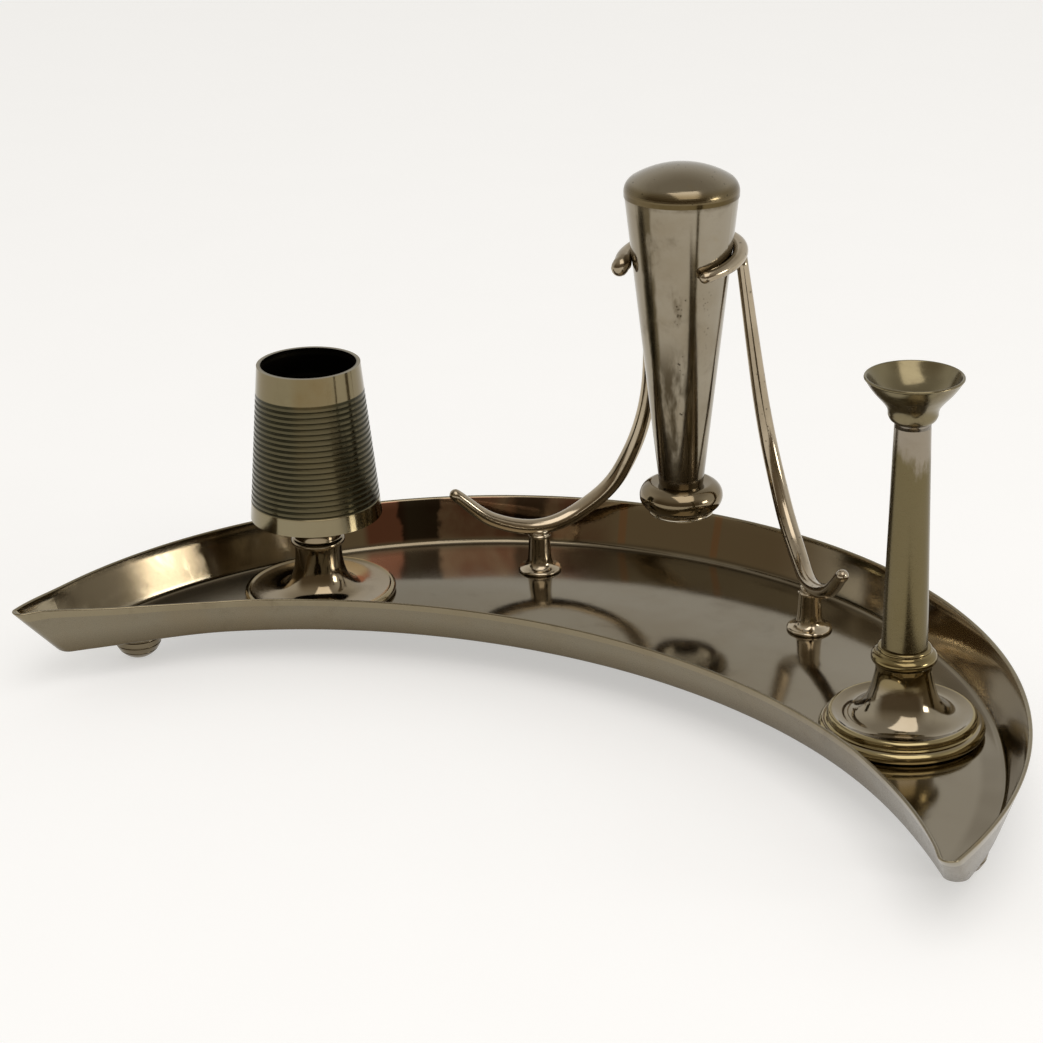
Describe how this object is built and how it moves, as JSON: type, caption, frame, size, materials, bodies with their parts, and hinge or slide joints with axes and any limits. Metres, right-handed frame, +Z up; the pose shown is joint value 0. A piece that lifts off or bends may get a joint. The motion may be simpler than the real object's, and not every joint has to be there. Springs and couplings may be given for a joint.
{
  "type": "desk inkstand",
  "caption": "Crescent desk stand tray on ball feet with a ribbed cup, a taper column and a lidded torch-shaped holder hung in a ring on two scrolled rods.",
  "frame": {"origin": "centre of the footprint box at the plane of the feet", "axes": "+X along the tray from the cup to the column, +Y from the concave front edge to the convex back edge, +Z up"},
  "size_m": [0.3, 0.1692, 0.1464],
  "materials": {
    "silver": "polished silver plate, warm and tarnished",
    "brass": "polished, worn through the plate",
    "steel": "dull"
  },
  "bodies": {
    "stand": {"tray": "silver", "foot_left": "silver", "foot_right": "silver", "foot_back": "silver", "cup_shell": "silver", "cup_floor": "silver", "cup_foot": "silver", "cup_screw": "steel", "cup_nut": "brass", "column_foot": "silver", "column_knop": "brass", "column_shaft": "brass", "column_dish": "silver", "column_rod": "steel", "column_nut": "brass", "post_left": "silver", "post_right": "silver", "post_screws": "steel", "rod_left": "silver", "rod_right": "silver", "torch_ring": "silver"},
    "torch": {"torch_body": "silver", "torch_knob": "silver", "torch_screw": "brass", "torch_band": "brass"},
    "cap": {"torch_cap": "silver"}
  },
  "joints": [
    {"name": "torch_lift", "type": "slide", "parent": "stand", "child": "torch", "axis": [0, 0, 1], "range_m": [0, 0.1]},
    {"name": "cap_lift", "type": "slide", "parent": "torch", "child": "cap", "axis": [0, 0, 1], "range_m": [0, 0.03]}
  ]
}
